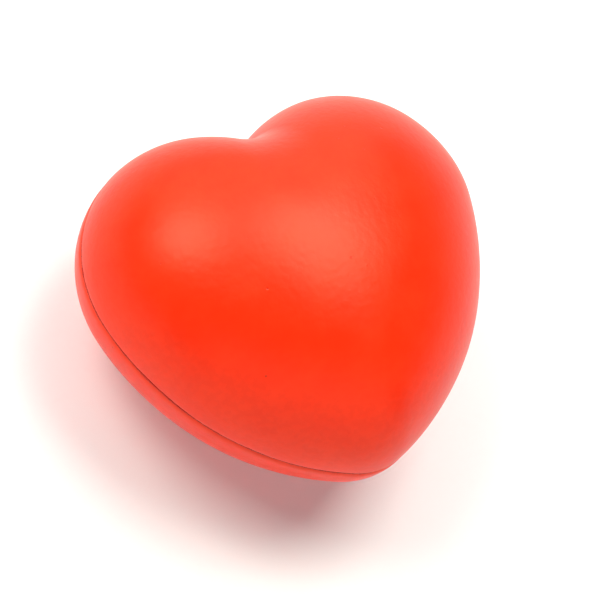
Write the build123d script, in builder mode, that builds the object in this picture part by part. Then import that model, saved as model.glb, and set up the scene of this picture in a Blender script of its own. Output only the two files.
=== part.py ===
from build123d import *
from math import radians, sin, sqrt
import os

# A puffed foam heart, squeezed in one hand. It lies on its back: X runs across the lobes, +Y points
# from the tip to the cleft, +Z points up through the thickness, and the origin is the middle of the
# small flat on which it rests. All sizes are in millimetres.

# Overall size of the heart
heart_width = 70.0
heart_length = 62.5
half_thickness = 22.8

# Outline in the plane of the seam
cleft_depth = 4.8
cleft_radius = 1.2
valley_radius = 36.0
tip_radius = 12.5
flank_radius = 48.0

# Fullness of the side view: 2 is an ellipse, and more is boxier
fullness = 2.1

# The two crowns are level over a small patch, and the back one is pressed in by the heart's weight
front_crown_width = 4.0
rest_flat_depth = 0.3

# Skin of the two halves, and the gap at its bond with the core
skin_thickness = 1.2
bond_gap = 0.1

# Groove along the parting line, and the trimmed fin that stands at the bottom of it
groove_depth = 0.45
groove_half_width = 0.7
fin_thickness = 0.3
fin_height = 0.25
fin_clearance = 0.1

FRONT = 1
BACK = -1
DOME_STEPS = 7

# Centres of the outline's arcs, measured from the tip. The lobes are circles that meet at the cleft,
# so their radius follows from the width and the cleft's depth.
lobe_radius = heart_width / 2 + cleft_depth - sqrt(heart_width * cleft_depth)
lobe_centre = Vector(heart_width / 2 - lobe_radius, heart_length - lobe_radius)
tip_centre = Vector(0, tip_radius)
seam_height = half_thickness - rest_flat_depth


def across(point):
    """The point's mirror image in the heart's middle plane."""
    return Vector(-point.X, point.Y)


def flank_centre():
    """Centre of the right flank's arc, which the lobe's and the tip's circles touch from inside."""
    to_lobe = flank_radius - lobe_radius
    to_tip = flank_radius - tip_radius
    span = tip_centre - lobe_centre
    along = (to_lobe**2 - to_tip**2 + span.length**2) / (2 * span.length)
    aside = sqrt(to_lobe**2 - along**2)
    return lobe_centre + span.normalized() * along + span.normalized().rotate(Axis.Z, -90) * aside


def heart_face(plane, crown, shrink, inset):
    """Face of the seam's outline, drawn in by inset, then shrunk about the crown, which is at X, Y = 0.

    The rounding of the cleft grows as the outline shrinks, so that the valley between the lobes
    fades out towards the crown.
    """
    rounding = cleft_radius + (valley_radius - cleft_radius) * (1 - shrink**fullness) + inset * shrink
    lobe_reach = (lobe_radius - inset) * shrink
    flank_reach = (flank_radius - inset) * shrink
    tip_reach = (tip_radius - inset) * shrink
    lobe = (lobe_centre - crown) * shrink
    flank = (flank_centre() - crown) * shrink
    tip = (tip_centre - crown) * shrink
    cleft = Vector(0, lobe.Y + sqrt((lobe_reach + rounding) ** 2 - lobe.X**2))

    cleft_end = lobe + (cleft - lobe).normalized() * lobe_reach
    lobe_side = lobe + Vector(1, 1).normalized() * lobe_reach
    lobe_end = lobe + (lobe - flank).normalized() * lobe_reach
    tip_end = tip + (tip - flank).normalized() * tip_reach
    flank_side = flank + ((lobe_end + tip_end) / 2 - flank).normalized() * flank_reach

    with BuildSketch(plane) as section:
        with BuildLine():
            ThreePointArc(across(cleft_end), cleft - Vector(0, rounding), cleft_end)
            lobe_arc = ThreePointArc(cleft_end, lobe_side, lobe_end)
            flank_arc = ThreePointArc(lobe_end, flank_side, tip_end)
            ThreePointArc(tip_end, tip - Vector(0, tip_reach), across(tip_end))
            mirror([flank_arc, lobe_arc], about=Plane.YZ)
        make_face()
    return section.sketch


# The crown stands over the outline's centroid, so that the heart lies level on the flat below it
crown_place = Vector(0, heart_face(Plane.XY, Vector(0, 0), 1, 0).face().center(CenterOf.MASS).Y)


def heart_section(side, height, inset):
    """Face of the heart at a height from the seam: the outline shrunk along a superellipse."""
    shrink = (1 - (height / (half_thickness - inset)) ** fullness) ** (1 / fullness)
    return heart_face(Plane.XY.offset(seam_height + side * height), crown_place, shrink, inset)


def crown_height(inset):
    """Height above the seam at which a half has shrunk to its small level crown."""
    shrink = front_crown_width / heart_width
    return (half_thickness - inset) * (1 - shrink**fullness) ** (1 / fullness)


def dome_sections(side, start, crown, inset):
    """Levels of one half from start to its crown, closer together where the surface turns in."""
    turns = [radians(90 * step / DOME_STEPS) for step in range(DOME_STEPS + 1)]
    return [heart_section(side, start + (crown - start) * sin(turn), inset) for turn in turns]


def lip_sections(side):
    """The two levels of a skin's rolled edge, from the bottom of the groove out to the surface."""
    bottom = heart_section(side, fin_thickness / 2 + fin_clearance, groove_depth)
    return [bottom, heart_section(side, groove_half_width, 0)]


# Skin of the front mould half: sprayed paint with the dense rind that cures to it, open at the seam
with BuildPart() as front_skin:
    loft(sections=dome_sections(FRONT, groove_half_width, crown_height(0), 0))
    loft(sections=lip_sections(FRONT), ruled=True)
    loft(sections=dome_sections(FRONT, 0, crown_height(skin_thickness), skin_thickness),
         mode=Mode.SUBTRACT)
front_skin.part.label = "front_skin"

# Skin of the back mould half, with the small flat on which the heart rests
with BuildPart() as back_skin:
    loft(sections=dome_sections(BACK, groove_half_width, seam_height, 0))
    loft(sections=lip_sections(BACK), ruled=True)
    loft(sections=dome_sections(BACK, 0, crown_height(skin_thickness), skin_thickness),
         mode=Mode.SUBTRACT)
back_skin.part.label = "back_skin"

# Soft open-cell foam that fills both skins
core_inset = skin_thickness + bond_gap
with BuildPart() as foam_core:
    loft(sections=dome_sections(FRONT, 0, crown_height(core_inset), core_inset))
    loft(sections=dome_sections(BACK, 0, crown_height(core_inset), core_inset))
foam_core.part.label = "foam_core"

# Fin of the parting line: a thin ring between the skins' edges, trimmed off below the surface
with BuildPart() as seam_flash:
    add(heart_section(BACK, 0, groove_depth - fin_height))
    extrude(amount=fin_thickness / 2, both=True)
    add(heart_section(BACK, 0, skin_thickness))
    extrude(amount=fin_thickness / 2, both=True, mode=Mode.SUBTRACT)
seam_flash.part.label = "seam_flash"

os.makedirs("parts", exist_ok=True)
export_step(front_skin.part, "parts/front_skin.step")
export_step(back_skin.part, "parts/back_skin.step")
export_step(foam_core.part, "parts/foam_core.step")
export_step(seam_flash.part, "parts/seam_flash.step")
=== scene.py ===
import math

import bpy
import numpy as np
from mathutils import Matrix, Vector


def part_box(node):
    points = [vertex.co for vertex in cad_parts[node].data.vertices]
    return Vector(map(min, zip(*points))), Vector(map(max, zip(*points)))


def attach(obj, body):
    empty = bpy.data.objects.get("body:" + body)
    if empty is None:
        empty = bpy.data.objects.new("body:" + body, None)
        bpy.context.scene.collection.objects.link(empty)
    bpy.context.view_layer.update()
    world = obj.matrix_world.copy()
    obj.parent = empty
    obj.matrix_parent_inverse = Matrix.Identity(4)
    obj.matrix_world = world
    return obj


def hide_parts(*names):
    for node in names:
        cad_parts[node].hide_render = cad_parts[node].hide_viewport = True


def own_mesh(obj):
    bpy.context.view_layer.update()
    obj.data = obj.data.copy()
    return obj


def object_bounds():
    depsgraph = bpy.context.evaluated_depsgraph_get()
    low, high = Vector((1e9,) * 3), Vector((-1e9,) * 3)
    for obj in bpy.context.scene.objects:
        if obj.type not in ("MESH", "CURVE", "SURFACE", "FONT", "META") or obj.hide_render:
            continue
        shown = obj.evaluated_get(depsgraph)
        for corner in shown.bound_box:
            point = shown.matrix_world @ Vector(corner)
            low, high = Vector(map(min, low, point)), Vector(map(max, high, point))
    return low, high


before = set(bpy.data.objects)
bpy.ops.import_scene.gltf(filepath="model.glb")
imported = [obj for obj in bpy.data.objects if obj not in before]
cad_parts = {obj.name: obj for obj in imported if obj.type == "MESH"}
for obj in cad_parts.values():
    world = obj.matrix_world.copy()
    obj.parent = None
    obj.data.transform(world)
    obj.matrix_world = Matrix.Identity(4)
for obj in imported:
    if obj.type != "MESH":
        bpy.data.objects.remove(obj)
cad_low, cad_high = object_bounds()

# ---------------------------------------------------------------------------------------------
# Foam core. Liquid polyurethane foam is poured into a two-part mould in the shape of a puffed
# heart, rises, and fills it with soft open cells. Nothing else is inside. The heart's shape is
# worked out here, where it is cast, and the skins and the fin take their shapes from it.
# ---------------------------------------------------------------------------------------------
heart_low, heart_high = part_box("back_skin")[0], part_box("front_skin")[1]
fin_low, fin_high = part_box("seam_flash")
heart_width = heart_high.x - heart_low.x
heart_length = heart_high.y - heart_low.y
seam_height = (fin_low.z + fin_high.z) / 2
half_thickness = heart_high.z - seam_height
crown_from_tip = -heart_low.y

cleft_depth = 0.0048
cleft_radius = 0.0012
valley_radius = 0.036
tip_radius = 0.0125
flank_radius = 0.048
fullness = 2.1
crown_width_share, crown_length_share = 0.47, 0.49
skin_thickness = 0.0012
bond_gap = 0.0001
foam_cells_per_metre = 1600
cell_wall_red = (0.78, 0.20, 0.13, 1)
# Painted shade in the pores.
pore_shade_red = (0.42, 0.06, 0.035, 1)

cleft_points, lobe_points, flank_points, tip_points = 12, 84, 64, 30
core_rows = 40

lobe_radius = heart_width / 2 + cleft_depth - math.sqrt(heart_width * cleft_depth)
lobe_x, lobe_y = heart_width / 2 - lobe_radius, heart_length - lobe_radius - crown_from_tip
tip_y = tip_radius - crown_from_tip


def flank_centre():
    """Centre of the right flank's arc, which the lobe's and the tip's circles touch from inside."""
    to_lobe, to_tip = flank_radius - lobe_radius, flank_radius - tip_radius
    span_x, span_y = -lobe_x, tip_y - lobe_y
    span = math.hypot(span_x, span_y)
    along = (to_lobe**2 - to_tip**2 + span**2) / (2 * span)
    aside = math.sqrt(to_lobe**2 - along**2)
    return (lobe_x + (span_x * along + span_y * aside) / span,
            lobe_y + (span_y * along - span_x * aside) / span)


def arc_points(centre_x, centre_y, radius, start, end, count):
    """Points along an arc for each level: centre plus radius times the cosine and sine of an angle."""
    share = np.linspace(0, 1, count, endpoint=False)
    angle = start[:, None] + (end - start)[:, None] * share
    x = centre_x[:, None] + radius[:, None] * np.cos(angle)
    y = centre_y[:, None] + radius[:, None] * np.sin(angle)
    return x, y


def heart_levels(height, inset, fineness=1):
    """Closed outlines of the heart, one for each height from the seam, drawn in by inset.

    An outline is four tangent arcs a side: cleft, lobe, flank and tip. Up the side it shrinks
    about the crown along a superellipse, and near the crown it turns into an oval, so that the
    top is smooth. The cleft's rounding grows on the way, which fades the valley out. Fineness
    multiplies the points along each arc.
    """
    rise = np.clip(np.abs(height) / (half_thickness - inset), 0, 1)
    shrink = (1 - rise**fullness) ** (1 / fullness)
    faded = 1 - shrink**fullness
    rounding = cleft_radius + (valley_radius - cleft_radius) * faded + inset * shrink
    lobe_reach = (lobe_radius - inset) * shrink
    flank_reach = (flank_radius - inset) * shrink
    tip_reach = (tip_radius - inset) * shrink
    flank_x, flank_y = flank_centre()
    level = np.zeros_like(shrink)

    cleft_y = lobe_y * shrink + np.sqrt((lobe_reach + rounding) ** 2 - (lobe_x * shrink) ** 2)
    lobe_start = np.arctan2(cleft_y - lobe_y * shrink, -lobe_x * shrink)
    lobe_end = level + math.atan2(lobe_y - flank_y, lobe_x - flank_x)
    tip_start = level + math.atan2(tip_y - flank_y, -flank_x)
    down = level - math.pi / 2
    half = [
        arc_points(level, cleft_y, rounding,
                   down, lobe_start - math.pi, cleft_points * fineness),
        arc_points(lobe_x * shrink, lobe_y * shrink, lobe_reach,
                   lobe_start, lobe_end, lobe_points * fineness),
        arc_points(flank_x * shrink, flank_y * shrink, flank_reach,
                   lobe_end, tip_start, flank_points * fineness),
        arc_points(level, tip_y * shrink, tip_reach,
                   tip_start, down, tip_points * fineness),
    ]
    x = np.concatenate([part[0] for part in half], axis=1)
    y = np.concatenate([part[1] for part in half], axis=1)
    tip_end = (tip_y * shrink - tip_reach)[:, None]
    x = np.concatenate([x, tip_end * 0, -x[:, :0:-1]], axis=1)
    y = np.concatenate([y, tip_end, y[:, :0:-1]], axis=1)

    turn = np.arctan2(y, x)
    oval_share = ((1 - shrink) ** 2)[:, None]
    x += (crown_width_share * heart_width * shrink[:, None] * np.cos(turn) - x) * oval_share
    y += (crown_length_share * heart_length * shrink[:, None] * np.sin(turn) - y) * oval_share
    z = np.broadcast_to((seam_height + height)[:, None], x.shape)
    return np.stack([x, y, z], axis=-1)


def superellipse_heights(inset, count, start=0.0):
    """Heights from start to just under a crown, in even turns along the superellipse."""
    reach = half_thickness - inset
    first = math.asin((start / reach) ** (fullness / 2))
    return reach * np.sin(np.linspace(first, math.pi / 2, count, endpoint=False)) ** (2 / fullness)


def closed_piece(name, grid, wraps=False):
    """Piece from a grid of points whose rows are closed outlines, stacked from the top down.

    The first and last rows are closed by a fan to a pole, or by each other where wraps is true.
    """
    rows, columns = grid.shape[:2]
    row = np.arange(rows if wraps else rows - 1)[:, None] * columns
    below = (row + columns) % (rows * columns)
    column = np.arange(columns)[None, :]
    following = (column + 1) % columns
    corners = np.broadcast_arrays(row + column, row + following, below + following, below + column)
    quads = np.stack(corners, axis=-1).reshape(-1, 4)
    points, fans = grid.reshape(-1, 3), []
    if not wraps:
        points = np.concatenate([points, [grid[0].mean(0), grid[-1].mean(0)]])
        around, after = column[0], following[0]
        last, top_pole = (rows - 1) * columns, np.full(columns, rows * columns)
        fans = np.concatenate([np.stack([after, around, top_pole], axis=-1),
                               np.stack([last + around, last + after, top_pole + 1], axis=-1)]).tolist()
    mesh = bpy.data.meshes.new(name)
    mesh.from_pydata(points, [], quads.tolist() + fans)
    mesh.polygons.foreach_set("use_smooth", np.ones(len(mesh.polygons), bool))
    mesh.update()
    piece = bpy.data.objects.new(name, mesh)
    bpy.context.scene.collection.objects.link(piece)
    return piece


def node_group(name, inputs, outputs):
    """Empty shader group with its named inputs, each with a default value, and its named outputs."""
    group = bpy.data.node_groups.new(name, "ShaderNodeTree")
    for label, kind, value in inputs:
        socket = group.interface.new_socket(label, in_out="INPUT", socket_type=kind)
        socket.default_value = value
    for label, kind in outputs:
        group.interface.new_socket(label, in_out="OUTPUT", socket_type=kind)
    return group, group.nodes.new("NodeGroupInput"), group.nodes.new("NodeGroupOutput")


def add_node(tree, kind, settings=None, **inputs):
    """Node with its settings, whose inputs are values or the sockets that feed them.

    An input's name has _ for a space, and _0, _1 and so on name an input by its place.
    """
    node = tree.nodes.new(kind)
    for key, value in (settings or {}).items():
        setattr(node, key, value)
    for key, value in inputs.items():
        socket = node.inputs[int(key[1:])] if key[0] == "_" else node.inputs[key.replace("_", " ")]
        if isinstance(value, bpy.types.NodeSocket):
            tree.links.new(value, socket)
        else:
            socket.default_value = value
    return node


def math_node(tree, operation, *values):
    """Output of a Math node that takes these values or sockets in order."""
    inputs = {f"_{place}": value for place, value in enumerate(values)}
    settings = {"operation": operation}
    return add_node(tree, "ShaderNodeMath", settings, **inputs).outputs[0]


def ramp(tree, factor, low, high):
    """Smooth step from 0 at low to 1 at high."""
    node = add_node(tree, "ShaderNodeMapRange", {"interpolation_type": "SMOOTHSTEP"}, Value=factor)
    node.inputs["From Min"].default_value = low
    node.inputs["From Max"].default_value = high
    return node.outputs[0]


def mix_colour(tree, factor, first, second):
    """Output of a colour Mix node: first where the factor is 0, and second where it is 1."""
    settings = {"data_type": "RGBA"}
    return add_node(tree, "ShaderNodeMix", settings, _0=factor, _6=first, _7=second).outputs[2]


# Open cells: rounded pores that crowd each other, with thin walls between them.
open_cells, cells_in, cells_out = node_group(
    "open_cells",
    [("Coordinates", "NodeSocketVector", (0, 0, 0)), ("Cells per metre", "NodeSocketFloat", 1500)],
    [("Height", "NodeSocketFloat"), ("Pore", "NodeSocketFloat")])
cell = add_node(open_cells, "ShaderNodeTexVoronoi", {"feature": "SMOOTH_F1"},
                Vector=cells_in.outputs[0], Scale=cells_in.outputs[1], Smoothness=0.25)
pore = ramp(open_cells, cell.outputs["Distance"], 0.55, 0.15)
open_cells.links.new(cell.outputs["Distance"], cells_out.inputs[0])
open_cells.links.new(pore, cells_out.inputs[1])


def shader_material(name):
    """New material's tree, with its Principled BSDF and the object's own coordinates."""
    material = bpy.data.materials.new(name)
    material.use_nodes = True
    tree = material.node_tree
    place = tree.nodes.new("ShaderNodeTexCoord").outputs["Object"]
    return material, tree, tree.nodes["Principled BSDF"], place


def foam_material():
    """Raw foam: the skin's red let down by air, with its pores painted darker than their walls as
    painted shade.
    """
    material, tree, surface, place = shader_material("raw_foam")
    cells = add_node(tree, "ShaderNodeGroup", {"node_tree": open_cells}, Coordinates=place)
    cells.inputs["Cells per metre"].default_value = foam_cells_per_metre
    # Painted shade: the pores are painted darker than the cell walls.
    colour = mix_colour(tree, cells.outputs["Pore"], cell_wall_red, pore_shade_red)
    tree.links.new(colour, surface.inputs["Base Color"])
    surface.inputs["Roughness"].default_value = 0.85
    bump = add_node(tree, "ShaderNodeBump", Strength=0.8, Distance=0.0002,
                    Height=cells.outputs["Height"])
    tree.links.new(bump.outputs[0], surface.inputs["Normal"])
    return material


core_inset = skin_thickness + bond_gap
core_half = superellipse_heights(core_inset, core_rows)
core_heights = np.concatenate([core_half[::-1], -core_half[1:]])
core_insets = np.full(len(core_heights), core_inset)
core = closed_piece("foam_core_cells", heart_levels(core_heights, core_insets))
core.data.materials.append(foam_material())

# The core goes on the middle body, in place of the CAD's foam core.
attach(core, "middle")
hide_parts("foam_core")
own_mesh(core)

# ---------------------------------------------------------------------------------------------
# Front and back skins. Each mould half is sprayed with red polyurethane paint before the foam
# goes in, and the foam cures against it to a dense satin rind. The two meet at the parting line,
# where their edges roll in to a shallow groove. The back one is flat where the heart rests.
# ---------------------------------------------------------------------------------------------
groove_depth = 0.00038
groove_roll = 0.00044
lip_height = 0.00017
shoulder_height = 0.0024
hollow_share = 0.0014
nick_share = 0.0007
outside_rows, rolled_rows, rim_rows, inside_rows = 80, 26, 5, 14

paint_red = (0.90, 0.024, 0.001, 1)
thick_paint_red = (0.94, 0.031, 0.003, 1)
# Painted shade for the grain's low spots.
hollow_shade_red = (0.74, 0.017, 0.001, 1)
# Painted reflection of the bright floor on the rolled edge.
painted_floor_reflection_red = (0.90, 0.075, 0.035, 1)
# Painted shade in the pinholes.
pinhole_shade_red = (0.32, 0.008, 0.004, 1)
rolled_edge_full, rolled_edge_end, rolled_edge_wander = 0.0008, 0.0019, 0.0012


def skin_profile():
    """Heights and insets of a skin's wall: down the outside, over the lip, and up the inside.

    The outside is drawn in towards the seam by the groove's depth times a bell curve of the
    height. Its rows crowd together below the shoulder, where the edge rolls in.
    """
    outside = superellipse_heights(0, outside_rows, shoulder_height)[::-1]
    down_the_roll = np.linspace(1, 0, rolled_rows)[1:] ** 1.6
    rolled = lip_height + (shoulder_height - lip_height) * down_the_roll
    outside = np.concatenate([outside, rolled])
    drawn_in = groove_depth * np.exp(-((outside / groove_roll) ** 1.5))
    rim = np.linspace(drawn_in[-1], skin_thickness, rim_rows)[1:]
    inside = superellipse_heights(skin_thickness, inside_rows, lip_height)[1:]
    heights = np.concatenate([outside, np.full(len(rim), lip_height), inside])
    insets = np.concatenate([drawn_in, rim, np.full(len(inside), skin_thickness)])
    return heights, insets


def settled(grid):
    """The grid with soft hollows left by the foam's uneven shrinkage, and the floor's flat under it.

    Each point moves in or out across the heart by a few sine waves of its place, up to 0.15 mm.
    Near the seam, waves of its direction from the middle nick the rolled edge as the trimming
    blade did. Nothing goes below the surface that the heart rests on.
    """
    x, y, z = grid[..., 0], grid[..., 1], grid[..., 2]
    swell = np.sin(210 * x + 1.3) * np.sin(170 * y + 0.4) + np.sin(120 * y - 160 * z + 2.1)
    swell += np.sin(260 * (x - y) + 0.7) * np.sin(230 * z)
    turn = np.arctan2(y, x)
    nicks = np.sin(29 * turn + 0.9) + np.sin(67 * turn)
    nicks += np.sin(127 * turn + 2.2) + np.sin(173 * turn + 1.4)
    nicks *= 0.6 + 0.4 * np.sin(5 * turn + np.sign(z - seam_height))
    near_seam = np.exp(-((np.abs(z - seam_height) / (1.4 * groove_roll)) ** 1.5))
    scale = 1 + hollow_share * swell + nick_share * nicks * near_seam
    return np.stack([x * scale, y * scale, np.maximum(z, 0)], axis=-1)


# Eggshell: the soft peel and fine grain of sprayed paint, with pinholes where bubbles met the
# mould. Each bubble's size is drawn from its cell's random colour, and few are large.
eggshell, shell_in, shell_out = node_group(
    "eggshell",
    [("Coordinates", "NodeSocketVector", (0, 0, 0)), ("Peel per metre", "NodeSocketFloat", 800),
     ("Grain per metre", "NodeSocketFloat", 2400), ("Bubble spacing", "NodeSocketFloat", 0.003)],
    [("Height", "NodeSocketFloat"), ("Pinhole", "NodeSocketFloat"), ("Mottle", "NodeSocketFloat")])
peel = add_node(eggshell, "ShaderNodeTexNoise",
                Vector=shell_in.outputs[0], Scale=shell_in.outputs[1], Detail=1.0, Roughness=0.5)
grain = add_node(eggshell, "ShaderNodeTexNoise",
                 Vector=shell_in.outputs[0], Scale=shell_in.outputs[2], Detail=3.0, Roughness=0.6)
mottle = add_node(eggshell, "ShaderNodeTexNoise",
                  Vector=shell_in.outputs[0], Scale=110.0, Detail=4.0, Roughness=0.6)
bubbles = add_node(eggshell, "ShaderNodeTexVoronoi", Vector=shell_in.outputs[0],
                   Scale=math_node(eggshell, "DIVIDE", 1.0, shell_in.outputs[3]))
lottery = add_node(eggshell, "ShaderNodeSeparateColor", Color=bubbles.outputs["Color"]).outputs["Red"]
few_large = math_node(eggshell, "POWER", lottery, 3.0)
bubble_size = math_node(eggshell, "MULTIPLY_ADD", few_large, 0.8, 0.35)
from_bubble = math_node(eggshell, "DIVIDE", bubbles.outputs["Distance"], bubble_size)
pinhole = ramp(eggshell, from_bubble, 0.085, 0.045)
skin_height = math_node(eggshell, "MULTIPLY_ADD", grain.outputs["Fac"], 0.35, peel.outputs["Fac"])
skin_height = math_node(eggshell, "MULTIPLY_ADD", pinhole, -0.9, skin_height)
eggshell.links.new(skin_height, shell_out.inputs[0])
eggshell.links.new(pinhole, shell_out.inputs[1])
eggshell.links.new(mottle.outputs["Fac"], shell_out.inputs[2])


def skin_material():
    """Satin red skin, duller on the rolled edge, where the paint is thin, and painted paler there as a
    painted reflection of the bright floor.
    """
    material, tree, surface, place = shader_material("sprayed_skin")
    shell = add_node(tree, "ShaderNodeGroup", {"node_tree": eggshell}, Coordinates=place)
    seam = add_node(tree, "ShaderNodeAttribute", {"attribute_name": "from_seam"}).outputs["Fac"]
    ragged = math_node(tree, "MULTIPLY_ADD", shell.outputs["Mottle"], rolled_edge_wander, seam)
    edge = ramp(tree, ragged, rolled_edge_end, rolled_edge_full)

    cloudy = ramp(tree, shell.outputs["Mottle"], 0.3, 0.7)
    colour = mix_colour(tree, cloudy, paint_red, thick_paint_red)
    # Painted shade: the skin is painted darker where the grain's height is low.
    painted_hollow_shade = math_node(tree, "MULTIPLY", ramp(tree, shell.outputs["Height"], 0.74, 0.58), 0.14)
    colour = mix_colour(tree, painted_hollow_shade, colour, hollow_shade_red)
    # Painted reflection: the rolled edge is painted paler, standing in for the bright floor's
    # reflection at grazing angles.
    colour = mix_colour(tree, math_node(tree, "MULTIPLY", edge, 0.5), colour, painted_floor_reflection_red)
    # Painted shade: the pinholes are painted dark inside.
    pinhole_shade = math_node(tree, "MULTIPLY", shell.outputs["Pinhole"], 0.5)
    colour = mix_colour(tree, pinhole_shade, colour, pinhole_shade_red)
    tree.links.new(colour, surface.inputs["Base Color"])

    roughness = math_node(tree, "MULTIPLY_ADD", shell.outputs["Mottle"], 0.12, 0.31)
    roughness = math_node(tree, "MULTIPLY_ADD", edge, 0.12, roughness)
    tree.links.new(roughness, surface.inputs["Roughness"])
    surface.inputs["IOR"].default_value = 1.35
    surface.inputs["Specular Tint"].default_value = (1.0, 0.97, 0.74, 1)
    surface.inputs["Sheen Weight"].default_value = 0.008
    surface.inputs["Sheen Roughness"].default_value = 0.4
    bump = add_node(tree, "ShaderNodeBump", Strength=1.0, Distance=0.000045,
                    Height=shell.outputs["Height"])
    tree.links.new(bump.outputs[0], surface.inputs["Normal"])
    return material


skin_heights, skin_insets = skin_profile()
sprayed_skin = skin_material()
front_grid = settled(heart_levels(skin_heights, skin_insets, fineness=2))
back_grid = settled(heart_levels(-skin_heights[::-1], skin_insets[::-1], fineness=2))
front_skin = closed_piece("front_skin_satin", front_grid)
back_skin = closed_piece("back_skin_satin", back_grid)
for skin, grid in ((front_skin, front_grid), (back_skin, back_grid)):
    from_seam = np.abs(grid[..., 2].ravel() - seam_height)
    from_seam = np.append(from_seam, [half_thickness, half_thickness])  # the two poles
    mark = skin.data.attributes.new("from_seam", "FLOAT", "POINT")
    mark.data.foreach_set("value", from_seam.astype(np.float32))
    skin.data.materials.append(sprayed_skin)
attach(front_skin, "front_half")
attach(back_skin, "back_half")
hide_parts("front_skin")
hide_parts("back_skin")
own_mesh(front_skin)
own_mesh(back_skin)

# ---------------------------------------------------------------------------------------------
# Parting fin. A thread of paint and foam squeezes out between the mould halves, cures to a thin
# fin all round the rim, and is trimmed off with a blade, which leaves its edge a little ragged
# at the bottom of the groove.
# ---------------------------------------------------------------------------------------------
fin_half_thickness = (fin_high.z - fin_low.z) / 2
fin_edge_depth = 0.00019
fin_cells_per_metre = 4200
# Painted shade: the cut edge's red is darkened for the groove's bottom, and its pores are darker still.
shaded_cut_edge_red = (0.66, 0.026, 0.010, 1)
cut_pore_shade_red = (0.34, 0.010, 0.005, 1)


def trimmed_fin():
    """Ring with a bladed edge: a flat loop of depth and height, carried round the rim.

    The edge's depth under the surface wanders by sine waves of the distance round the rim, and
    the whole loop rises and falls with it.
    """
    outer, inner = heart_levels(np.zeros(2), np.array([0, skin_thickness]), fineness=3)
    inward = (inner - outer) / skin_thickness
    step = np.linalg.norm(np.diff(outer, axis=0, append=outer[:1]), axis=1)
    around = 2 * math.pi * np.cumsum(step) / step.sum()
    edge = fin_edge_depth + 0.00004 * np.sin(7 * around + 0.5) + 0.00003 * np.sin(31 * around)
    edge += 0.00002 * np.sin(83 * around + 1.1) + 0.00002 * np.sin(211 * around)
    wander = 0.00004 * np.sin(5 * around) + 0.00002 * np.sin(43 * around + 2.0)
    side = np.array([1, 1, 1, 0.85, 0.5, 0, -0.5, -0.85, -1, -1, -1])
    behind = np.array([1, 0.6, 0.25, 0.08, 0.02, 0, 0.02, 0.08, 0.25, 0.6, 1])
    depth = edge + behind[:, None] * (skin_thickness - edge)
    points = outer + inward * depth[..., None]
    points[..., 2] += side[:, None] * fin_half_thickness + wander * (1 - behind[:, None])
    return points


def fin_material():
    """Cut edge of the fin: deep red paint darkened as painted shade for the groove's bottom, with the
    foam's cells showing where the blade went, their pores painted dark as painted shade.
    """
    material, tree, surface, place = shader_material("trimmed_fin_edge")
    cells = add_node(tree, "ShaderNodeGroup", {"node_tree": open_cells}, Coordinates=place)
    cells.inputs["Cells per metre"].default_value = fin_cells_per_metre
    # Painted shade: the cut edge is darker red than the skin, for the groove's bottom, and its pores
    # are darker still.
    colour = mix_colour(tree, cells.outputs["Pore"], shaded_cut_edge_red, cut_pore_shade_red)
    tree.links.new(colour, surface.inputs["Base Color"])
    surface.inputs["Roughness"].default_value = 0.7
    bump = add_node(tree, "ShaderNodeBump", Strength=0.6, Distance=0.00005,
                    Height=cells.outputs["Height"])
    tree.links.new(bump.outputs[0], surface.inputs["Normal"])
    return material


fin = closed_piece("parting_fin", trimmed_fin(), wraps=True)
fin.data.materials.append(fin_material())
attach(fin, "middle")
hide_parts("seam_flash")
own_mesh(fin)

# ---------------------------------------------------------------------------------------------
# Studio. A plain pale floor under two soft boxes, a broad panel over the cleft's side and a white
# card low on the tip's side. A long lens looks down at the heart from its left, a little from
# the tip's side.
# ---------------------------------------------------------------------------------------------
heart_middle = (cad_low + cad_high) / 2
warm_white, cool_white = (1.0, 0.965, 0.85), (1.0, 0.985, 0.96)


def compass(azimuth, elevation):
    """Unit direction: azimuth from +X towards +Y, and elevation above the floor, in degrees."""
    turn, lift = math.radians(azimuth), math.radians(elevation)
    return Vector((math.cos(lift) * math.cos(turn), math.cos(lift) * math.sin(turn), math.sin(lift)))


def soft_box(name, azimuth, elevation, distance, width, depth, power, colour):
    """Rectangular area light that faces the heart from a direction and distance."""
    light = bpy.data.lights.new(name, "AREA")
    light.shape = "RECTANGLE"
    light.size, light.size_y, light.energy = width, depth, power
    light.color = colour
    lamp = bpy.data.objects.new(name, light)
    lamp.visible_camera = False
    towards = compass(azimuth, elevation)
    facing_heart = towards.to_track_quat("Z", "Y").to_matrix().to_4x4()
    lamp.matrix_world = Matrix.Translation(heart_middle + towards * distance) @ facing_heart
    bpy.context.scene.collection.objects.link(lamp)


soft_box("left_box", azimuth=132, elevation=50, distance=1.0,
         width=0.46, depth=0.46, power=6.1, colour=warm_white)
soft_box("right_box", azimuth=32, elevation=68, distance=1.0,
         width=0.56, depth=0.50, power=7.5, colour=warm_white)
soft_box("overhead_panel", azimuth=72, elevation=42, distance=1.4,
         width=1.9, depth=1.6, power=13.4, colour=cool_white)
soft_box("tip_side_card", azimuth=-105, elevation=24, distance=1.3,
         width=2.2, depth=1.1, power=6.8, colour=cool_white)


floor_radius, floor_corners = 4.0, 96
paper_shade, paper_white = (0.85, 0.86, 0.90, 1), (0.88, 0.89, 0.93, 1)
# Painted glow of the floor, which lifts the shadow near the heart.
near_glow, far_glow = (0.09, 0.09, 0.09, 1), (0.95, 0.95, 0.95, 1)
glow_starts, glow_full = 0.35, 1.6


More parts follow.
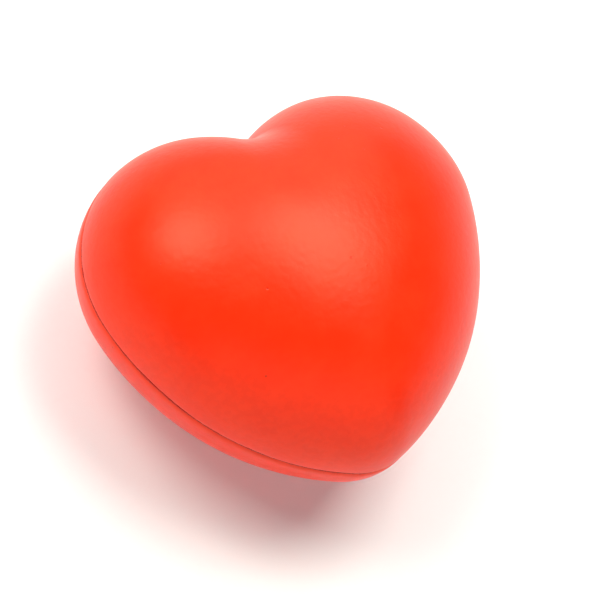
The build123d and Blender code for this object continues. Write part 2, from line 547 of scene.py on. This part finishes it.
def floor_material():
    """Matt pale paper, faintly cloudy, with a painted glow: faint near the heart, where it lifts the
    shadow, and near white far out, where the lamps don't reach.
    """
    material, tree, surface, place = shader_material("pale_paper")
    cloud = add_node(tree, "ShaderNodeTexNoise", Vector=place, Scale=9.0, Detail=3.0)
    colour = mix_colour(tree, cloud.outputs["Fac"], paper_shade, paper_white)
    tree.links.new(colour, surface.inputs["Base Color"])
    surface.inputs["Roughness"].default_value = 0.75
    length = {"operation": "LENGTH"}
    away = add_node(tree, "ShaderNodeVectorMath", length, _0=place).outputs["Value"]
    # Painted light: the floor glows though it is no lamp, faintly near the heart, where it lifts the
    # shadow, and near white far out.
    glow = mix_colour(tree, ramp(tree, away, glow_starts, glow_full), near_glow, far_glow)
    tree.links.new(glow, surface.inputs["Emission Color"])
    surface.inputs["Emission Strength"].default_value = 1.0
    return material


rim_turn = np.linspace(0, 2 * math.pi, floor_corners, endpoint=False)
ring = np.stack([np.cos(rim_turn), np.sin(rim_turn), np.zeros(floor_corners)], axis=-1)
floor_mesh = bpy.data.meshes.new("paper_floor")
floor_mesh.from_pydata(ring * floor_radius, [], [list(range(floor_corners))])
floor = bpy.data.objects.new("paper_floor", floor_mesh)
floor.data.materials.append(floor_material())
bpy.context.scene.collection.objects.link(floor)

# The air is white at the horizon, where it meets the floor, and dim overhead.
horizon_white, zenith_grey = (1.0, 1.0, 1.0, 1), (0.05, 0.05, 0.05, 1)
horizon_rise, zenith_rise = 0.01, 0.22
world = bpy.data.worlds.new("studio_air")
world.use_nodes = True
air = world.node_tree
direction = air.nodes.new("ShaderNodeTexCoord").outputs["Generated"]
upward = add_node(air, "ShaderNodeSeparateXYZ", Vector=direction).outputs["Z"]
sky = mix_colour(air, ramp(air, upward, horizon_rise, zenith_rise), horizon_white, zenith_grey)
air.links.new(sky, air.nodes["Background"].inputs["Color"])
bpy.context.scene.world = world
bpy.context.scene.view_settings.view_transform = "Standard"

camera_distance = 0.90
camera_away = compass(-155.5, 60)
camera_up = Vector((0.208, 0.852, 0.481))
camera_data = bpy.data.cameras.new("long_lens")
camera_data.sensor_width, camera_data.lens = 36, 330
camera_data.clip_start, camera_data.clip_end = 0.05, 20
camera = bpy.data.objects.new("long_lens", camera_data)
across = camera_up.cross(camera_away).normalized()
upright = camera_away.cross(across)
facing = Matrix((across, upright, camera_away)).transposed().to_4x4()
camera.matrix_world = Matrix.Translation(heart_middle + camera_away * camera_distance) @ facing
bpy.context.scene.collection.objects.link(camera)
bpy.context.scene.camera = camera
